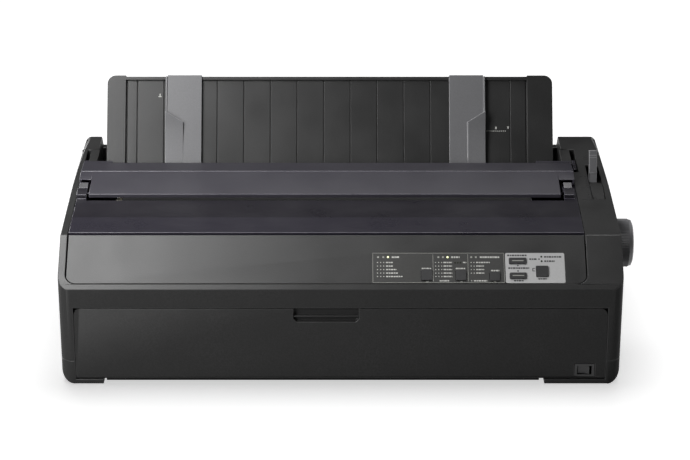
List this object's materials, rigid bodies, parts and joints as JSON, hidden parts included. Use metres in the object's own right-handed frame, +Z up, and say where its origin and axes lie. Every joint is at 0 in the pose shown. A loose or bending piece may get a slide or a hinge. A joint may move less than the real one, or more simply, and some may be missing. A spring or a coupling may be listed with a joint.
{
  "type": "dot matrix printer",
  "caption": "Wide-carriage impact printer with hinged smoked covers, drop-down front cover, tilting sheet guide, feed knob, tractors and a control panel.",
  "frame": {"origin": "middle of the bounding box, on the surface the printer stands on", "axes": "+X to the right along the platen, +Y to the back, +Z up"},
  "size_m": [0.6372, 0.35, 0.2628],
  "materials": {
    "case_plastic": "fine textured moulding, dark warm grey",
    "panel_plastic": "fine textured moulding, dark warm grey",
    "smoked_plastic": "smoked tinted plastic with a fine texture",
    "light_grey_plastic": "matt moulding, mid grey",
    "black_plastic": "matt moulding, black",
    "black_label": "printed label, near black",
    "silver_label": "printed label, silver grey",
    "lens": "clear lens over a green lamp",
    "gear_plastic": "acetal, natural white",
    "zinc_steel": "zinc plated sheet",
    "bright_steel": "ground steel rod",
    "rubber": "matt rubber",
    "board": "circuit board, green",
    "cast_metal": "cast body with fins, blackened"
  },
  "bodies": {
    "chassis": {"lower_case": "case_plastic", "upper_case": "case_plastic", "control_panel_housing": "panel_plastic", "panel_overlay": "black_label", "button_plate": "silver_label", "indicator_lenses": "lens", "control_board": "board", "rubber_feet": "rubber", "base_plate": "zinc_steel", "side_frame_left": "zinc_steel", "side_frame_right": "zinc_steel", "carriage_frame": "zinc_steel", "guide_rods": "bright_steel", "paper_chute": "black_plastic", "carriage_belt": "rubber", "stepper_motors": "black_plastic", "main_board": "board", "power_supply": "zinc_steel", "rear_connectors": "black_plastic", "power_switch_body": "black_plastic", "front_paper_ramp": "black_plastic", "shaft_bushes": "gear_plastic", "screws": "zinc_steel", "ribbon_cartridge": "black_plastic"},
    "platen": {"platen_roller": "rubber", "platen_shaft": "bright_steel", "paper_feed_knob": "light_grey_plastic", "platen_gear": "gear_plastic"},
    "reduction_gear": {"reduction_gear": "gear_plastic"},
    "transfer_gear_front": {"transfer_gear_front": "gear_plastic"},
    "transfer_gear_rear": {"transfer_gear_rear": "gear_plastic"},
    "feed_motor_pinion": {"feed_motor_pinion": "bright_steel"},
    "pinch_rollers": {"pinch_rollers": "rubber"},
    "carriage": {"carriage": "black_plastic", "print_head": "cast_metal"},
    "motor_pulley": {"motor_pulley": "zinc_steel"},
    "idler_pulley": {"idler_pulley": "zinc_steel"},
    "ribbon_knob": {"ribbon_knob": "light_grey_plastic"},
    "tractor_drive": {"tractor_drive_shaft": "bright_steel", "tractor_gear": "gear_plastic"},
    "tractor_left": {"tractor_left": "black_plastic"},
    "tractor_left_cover": {"tractor_left_cover": "smoked_plastic"},
    "tractor_right": {"tractor_right": "black_plastic"},
    "tractor_right_cover": {"tractor_right_cover": "smoked_plastic"},
    "release_lever": {"release_lever": "light_grey_plastic"},
    "head_gap_lever": {"head_gap_lever": "light_grey_plastic"},
    "printer_cover": {"printer_cover": "smoked_plastic"},
    "paper_guide_cover": {"paper_guide_cover": "smoked_plastic"},
    "sheet_guide": {"sheet_guide": "case_plastic"},
    "edge_guide_left": {"edge_guide_left": "light_grey_plastic"},
    "edge_guide_right": {"edge_guide_right": "light_grey_plastic"},
    "front_cover": {"front_cover": "case_plastic"},
    "power_rocker": {"power_rocker": "black_plastic"},
    "button_font": {"button_font": "black_plastic"},
    "button_pitch": {"button_pitch": "black_plastic"},
    "button_tear_off": {"button_tear_off": "black_plastic"},
    "button_load": {"button_load": "black_plastic"},
    "button_line_feed": {"button_line_feed": "black_plastic"},
    "button_pause": {"button_pause": "black_plastic"}
  },
  "joints": [
    {"name": "platen_turn", "type": "hinge", "parent": "chassis", "child": "platen", "pos_m": [-0.0254, -0.069, 0.1255], "axis": [1, 0, 0], "continuous": true},
    {"name": "reduction_gear_turn", "type": "hinge", "parent": "chassis", "child": "reduction_gear", "pos_m": [-0.2726, -0.04491, 0.0911], "axis": [1, 0, 0], "continuous": true},
    {"name": "transfer_gear_front_turn", "type": "hinge", "parent": "chassis", "child": "transfer_gear_front", "pos_m": [-0.2726, 0.00105, 0.08912], "axis": [1, 0, 0], "continuous": true},
    {"name": "transfer_gear_rear_turn", "type": "hinge", "parent": "chassis", "child": "transfer_gear_rear", "pos_m": [-0.2726, 0.05647, 0.09712], "axis": [1, 0, 0], "continuous": true},
    {"name": "tractor_drive_turn", "type": "hinge", "parent": "chassis", "child": "tractor_drive", "pos_m": [-0.0254, 0.1, 0.112], "axis": [1, 0, 0], "continuous": true},
    {"name": "feed_motor_turn", "type": "hinge", "parent": "chassis", "child": "feed_motor_pinion", "pos_m": [-0.2726, -0.03636, 0.0676], "axis": [1, 0, 0], "continuous": true},
    {"name": "pinch_rollers_turn", "type": "hinge", "parent": "chassis", "child": "pinch_rollers", "pos_m": [-0.0254, -0.05924, 0.10713], "axis": [1, 0, 0], "continuous": true},
    {"name": "carriage_travel", "type": "slide", "parent": "chassis", "child": "carriage", "axis": [1, 0, 0], "range_m": [-0.018, 0.34]},
    {"name": "motor_pulley_turn", "type": "hinge", "parent": "chassis", "child": "motor_pulley", "pos_m": [-0.2346, -0.125, 0.075], "axis": [0, 0, 1], "continuous": true},
    {"name": "idler_pulley_turn", "type": "hinge", "parent": "chassis", "child": "idler_pulley", "pos_m": [0.2039, -0.125, 0.075], "axis": [0, 0, 1], "continuous": true},
    {"name": "ribbon_knob_turn", "type": "hinge", "parent": "chassis", "child": "ribbon_knob", "pos_m": [-0.2256, -0.124, 0.14], "axis": [0, 0, 1], "continuous": true},
    {"name": "tractor_left_slide", "type": "slide", "parent": "chassis", "child": "tractor_left", "axis": [1, 0, 0], "range_m": [-0.008, 0.06]},
    {"name": "tractor_right_slide", "type": "slide", "parent": "chassis", "child": "tractor_right", "axis": [1, 0, 0], "range_m": [-0.2, 0.03]},
    {"name": "tractor_left_cover_hinge", "type": "hinge", "parent": "tractor_left", "child": "tractor_left_cover", "pos_m": [-0.2246, 0.1, 0.1264], "axis": [0, -1, 0], "range_deg": [0, 100]},
    {"name": "tractor_right_cover_hinge", "type": "hinge", "parent": "tractor_right", "child": "tractor_right_cover", "pos_m": [0.1734, 0.1, 0.1264], "axis": [0, 1, 0], "range_deg": [0, 100]},
    {"name": "release_lever_turn", "type": "hinge", "parent": "chassis", "child": "release_lever", "pos_m": [0.2822, 0, 0.11], "axis": [1, 0, 0], "range_deg": [-18, 40]},
    {"name": "head_gap_lever_turn", "type": "hinge", "parent": "chassis", "child": "head_gap_lever", "pos_m": [-0.2606, -0.111, 0.092], "axis": [1, 0, 0], "range_deg": [-30, 15]},
    {"name": "printer_cover_hinge", "type": "hinge", "parent": "chassis", "child": "printer_cover", "pos_m": [-0.0254, 0.071, 0.16797], "axis": [-1, 0, 0], "range_deg": [0, 58]},
    {"name": "paper_guide_cover_hinge", "type": "hinge", "parent": "printer_cover", "child": "paper_guide_cover", "pos_m": [-0.0254, -0.02451, 0.16755], "axis": [1, 0, 0], "range_deg": [0, 75]},
    {"name": "sheet_guide_tilt", "type": "hinge", "parent": "chassis", "child": "sheet_guide", "pos_m": [-0.0254, 0.077, 0.16], "axis": [-1, 0, 0], "range_deg": [0, 58]},
    {"name": "edge_guide_left_slide", "type": "slide", "parent": "sheet_guide", "child": "edge_guide_left", "axis": [1, 0, 0], "range_m": [-0.044, 0.15]},
    {"name": "edge_guide_right_slide", "type": "slide", "parent": "sheet_guide", "child": "edge_guide_right", "axis": [1, 0, 0], "range_m": [-0.15, 0.044]},
    {"name": "front_cover_hinge", "type": "hinge", "parent": "chassis", "child": "front_cover", "pos_m": [-0.0096, -0.1718, 0.0093], "axis": [1, 0, 0], "range_deg": [0, 90]},
    {"name": "power_rocker_tilt", "type": "hinge", "parent": "chassis", "child": "power_rocker", "pos_m": [0.2594, -0.1666, 0.017], "axis": [0, 0, 1], "range_deg": [0, 16]},
    {"name": "button_font_press", "type": "slide", "parent": "chassis", "child": "button_font", "axis": [0, 0.6428, -0.766], "range_m": [0, 0.0008], "stiffness_N_per_m": 500},
    {"name": "button_pitch_press", "type": "slide", "parent": "chassis", "child": "button_pitch", "axis": [0, 0.6428, -0.766], "range_m": [0, 0.0008], "stiffness_N_per_m": 500},
    {"name": "button_tear_off_press", "type": "slide", "parent": "chassis", "child": "button_tear_off", "axis": [0, 0.6428, -0.766], "range_m": [0, 0.0008], "stiffness_N_per_m": 500},
    {"name": "button_load_press", "type": "slide", "parent": "chassis", "child": "button_load", "axis": [0, 0.6428, -0.766], "range_m": [0, 0.0008], "stiffness_N_per_m": 500},
    {"name": "button_line_feed_press", "type": "slide", "parent": "chassis", "child": "button_line_feed", "axis": [0, 0.6428, -0.766], "range_m": [0, 0.0008], "stiffness_N_per_m": 500},
    {"name": "button_pause_press", "type": "slide", "parent": "chassis", "child": "button_pause", "axis": [0, 0.6428, -0.766], "range_m": [0, 0.0008], "stiffness_N_per_m": 500}
  ],
  "couplings": [
    {"joint": "reduction_gear_turn", "follows": "platen_turn", "ratio": -1.3333},
    {"joint": "transfer_gear_front_turn", "follows": "platen_turn", "ratio": 0.85714},
    {"joint": "transfer_gear_rear_turn", "follows": "platen_turn", "ratio": -0.85714},
    {"joint": "tractor_drive_turn", "follows": "platen_turn", "ratio": 1.3333},
    {"joint": "feed_motor_turn", "follows": "platen_turn", "ratio": 3.4286},
    {"joint": "pinch_rollers_turn", "follows": "platen_turn", "ratio": -2.4167},
    {"joint": "motor_pulley_turn", "follows": "carriage_travel", "rad_per_m": 131.58},
    {"joint": "idler_pulley_turn", "follows": "carriage_travel", "rad_per_m": 131.58}
  ]
}
